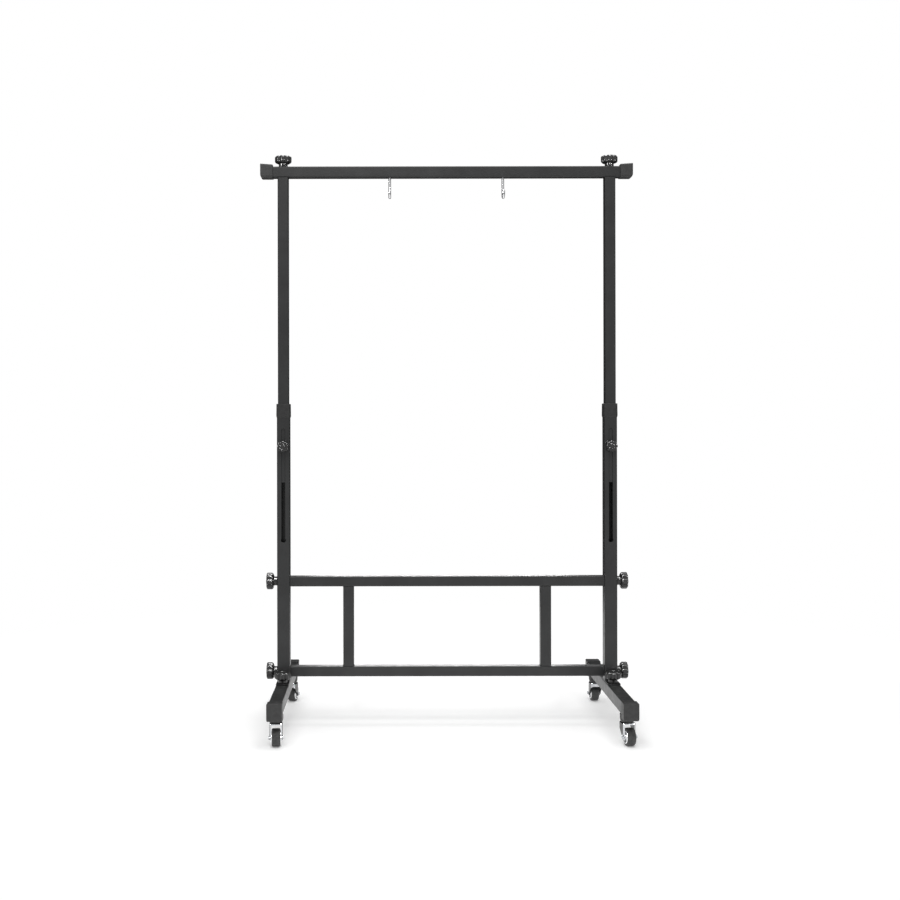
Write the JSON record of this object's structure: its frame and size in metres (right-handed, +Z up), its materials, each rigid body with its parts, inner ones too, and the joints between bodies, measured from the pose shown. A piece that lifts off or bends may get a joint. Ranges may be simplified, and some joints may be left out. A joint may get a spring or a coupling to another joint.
{
  "type": "rolling adjustable hanging frame",
  "caption": "Wheeled square-tube hanging frame: telescoping posts, top bar with two J-hooks, ladder base, foot beams on swivel casters, and star knobs at every joint.",
  "frame": {"origin": "on the floor below the middle of the top bar, midway between the foot beams' ends", "axes": "+X from the left post to the right post as seen from the front, -Y to the front, +Z up"},
  "size_m": [1.115, 0.623, 1.699],
  "materials": {
    "black_paint": "semi-gloss black powder coat",
    "cap_plastic": "moulded, fine matte grain",
    "knob_plastic": "moulded, glossy",
    "chrome": "bright plated",
    "zinc": "zinc plated",
    "tyre_rubber": "smooth black rubber"
  },
  "bodies": {
    "base_frame": {"lower_post_left": "black_paint", "lower_post_right": "black_paint", "foot_plate_left": "black_paint", "foot_plate_right": "black_paint", "collar_left": "cap_plastic", "collar_right": "cap_plastic", "strut_left": "black_paint", "strut_right": "black_paint", "lower_rail": "black_paint", "upper_rail": "black_paint", "foot_beam_left": "black_paint", "foot_beam_right": "black_paint", "foot_cap_front_left": "cap_plastic", "foot_cap_rear_left": "cap_plastic", "foot_cap_front_right": "cap_plastic", "foot_cap_rear_right": "cap_plastic", "caster_stem_front_left": "zinc", "caster_stem_front_right": "zinc", "caster_stem_rear_left": "zinc", "caster_stem_rear_right": "zinc"},
    "upper_frame": {"upper_post_left": "black_paint", "upper_post_right": "black_paint", "post_plug_left": "zinc", "post_plug_right": "zinc", "top_bar": "black_paint", "bar_cap_left": "cap_plastic", "bar_cap_right": "cap_plastic", "hook_left": "chrome", "hook_right": "chrome", "hook_nut_left": "zinc", "hook_nut_right": "zinc"},
    "base_knob_front_left": {"base_knob_front_left": "knob_plastic"},
    "base_knob_rear_left": {"base_knob_rear_left": "knob_plastic"},
    "base_knob_front_right": {"base_knob_front_right": "knob_plastic"},
    "base_knob_rear_right": {"base_knob_rear_right": "knob_plastic"},
    "side_knob_lower_left": {"side_knob_lower_left": "knob_plastic"},
    "side_knob_upper_left": {"side_knob_upper_left": "knob_plastic"},
    "side_knob_lower_right": {"side_knob_lower_right": "knob_plastic"},
    "side_knob_upper_right": {"side_knob_upper_right": "knob_plastic"},
    "top_knob_left": {"top_knob_left": "knob_plastic"},
    "top_knob_right": {"top_knob_right": "knob_plastic"},
    "slot_knob_left": {"slot_knob_left": "knob_plastic"},
    "slot_knob_right": {"slot_knob_right": "knob_plastic"},
    "caster_fork_front_left": {"caster_fork_front_left": "chrome", "caster_axle_front_left": "zinc"},
    "caster_fork_front_right": {"caster_fork_front_right": "chrome", "caster_axle_front_right": "zinc"},
    "caster_fork_rear_left": {"caster_fork_rear_left": "chrome", "caster_axle_rear_left": "zinc"},
    "caster_fork_rear_right": {"caster_fork_rear_right": "chrome", "caster_axle_rear_right": "zinc"},
    "caster_wheel_front_left": {"caster_tyre_front_left": "tyre_rubber", "caster_hub_front_left": "chrome"},
    "caster_wheel_front_right": {"caster_tyre_front_right": "tyre_rubber", "caster_hub_front_right": "chrome"},
    "caster_wheel_rear_left": {"caster_tyre_rear_left": "tyre_rubber", "caster_hub_rear_left": "chrome"},
    "caster_wheel_rear_right": {"caster_tyre_rear_right": "tyre_rubber", "caster_hub_rear_right": "chrome"}
  },
  "joints": [
    {"name": "height_slide", "type": "slide", "parent": "base_frame", "child": "upper_frame", "axis": [0, 0, 1], "range_m": [-0.28, 0.045]},
    {"name": "base_knob_front_left_turn", "type": "hinge", "parent": "base_frame", "child": "base_knob_front_left", "pos_m": [-0.49, -0.046, 0.1271], "axis": [0, 0, 1], "continuous": true},
    {"name": "base_knob_rear_left_turn", "type": "hinge", "parent": "base_frame", "child": "base_knob_rear_left", "pos_m": [-0.49, 0.046, 0.1271], "axis": [0, 0, 1], "continuous": true},
    {"name": "base_knob_front_right_turn", "type": "hinge", "parent": "base_frame", "child": "base_knob_front_right", "pos_m": [0.49, -0.046, 0.1271], "axis": [0, 0, 1], "continuous": true},
    {"name": "base_knob_rear_right_turn", "type": "hinge", "parent": "base_frame", "child": "base_knob_rear_right", "pos_m": [0.49, 0.046, 0.1271], "axis": [0, 0, 1], "continuous": true},
    {"name": "side_knob_lower_left_turn", "type": "hinge", "parent": "base_frame", "child": "side_knob_lower_left", "pos_m": [-0.5093, 0, 0.154], "axis": [-1, 0, 0], "continuous": true},
    {"name": "side_knob_upper_left_turn", "type": "hinge", "parent": "base_frame", "child": "side_knob_upper_left", "pos_m": [-0.5093, 0, 0.4235], "axis": [-1, 0, 0], "continuous": true},
    {"name": "side_knob_lower_right_turn", "type": "hinge", "parent": "base_frame", "child": "side_knob_lower_right", "pos_m": [0.5093, 0, 0.154], "axis": [1, 0, 0], "continuous": true},
    {"name": "side_knob_upper_right_turn", "type": "hinge", "parent": "base_frame", "child": "side_knob_upper_right", "pos_m": [0.5093, 0, 0.4235], "axis": [1, 0, 0], "continuous": true},
    {"name": "top_knob_left_turn", "type": "hinge", "parent": "upper_frame", "child": "top_knob_left", "pos_m": [-0.49, 0, 1.667], "axis": [0, 0, 1], "continuous": true},
    {"name": "top_knob_right_turn", "type": "hinge", "parent": "upper_frame", "child": "top_knob_right", "pos_m": [0.49, 0, 1.667], "axis": [0, 0, 1], "continuous": true},
    {"name": "slot_knob_left_turn", "type": "hinge", "parent": "upper_frame", "child": "slot_knob_left", "pos_m": [-0.49, -0.0193, 0.828], "axis": [0, -1, 0], "continuous": true},
    {"name": "slot_knob_right_turn", "type": "hinge", "parent": "upper_frame", "child": "slot_knob_right", "pos_m": [0.49, -0.0193, 0.828], "axis": [0, -1, 0], "continuous": true},
    {"name": "caster_swivel_front_left", "type": "hinge", "parent": "base_frame", "child": "caster_fork_front_left", "pos_m": [-0.49, -0.252, 0.0634], "axis": [0, 0, 1], "continuous": true},
    {"name": "caster_swivel_front_right", "type": "hinge", "parent": "base_frame", "child": "caster_fork_front_right", "pos_m": [0.49, -0.252, 0.0634], "axis": [0, 0, 1], "continuous": true},
    {"name": "caster_swivel_rear_left", "type": "hinge", "parent": "base_frame", "child": "caster_fork_rear_left", "pos_m": [-0.49, 0.252, 0.0634], "axis": [0, 0, 1], "continuous": true},
    {"name": "caster_swivel_rear_right", "type": "hinge", "parent": "base_frame", "child": "caster_fork_rear_right", "pos_m": [0.49, 0.252, 0.0634], "axis": [0, 0, 1], "continuous": true},
    {"name": "caster_roll_front_left", "type": "hinge", "parent": "caster_fork_front_left", "child": "caster_wheel_front_left", "pos_m": [-0.48824, -0.26991, 0.025], "axis": [-0.9952, -0.0976, 0], "continuous": true},
    {"name": "caster_roll_front_right", "type": "hinge", "parent": "caster_fork_front_right", "child": "caster_wheel_front_right", "pos_m": [0.49251, -0.26982, 0.025], "axis": [-0.9903, -0.1392, 0], "continuous": true},
    {"name": "caster_roll_rear_left", "type": "hinge", "parent": "caster_fork_rear_left", "child": "caster_wheel_rear_left", "pos_m": [-0.48549, 0.26943, 0.025], "axis": [0.9681, -0.2504, 0], "continuous": true},
    {"name": "caster_roll_rear_right", "type": "hinge", "parent": "caster_fork_rear_right", "child": "caster_wheel_rear_right", "pos_m": [0.4889, 0.26997, 0.025], "axis": [0.9981, 0.061, 0], "continuous": true}
  ]
}
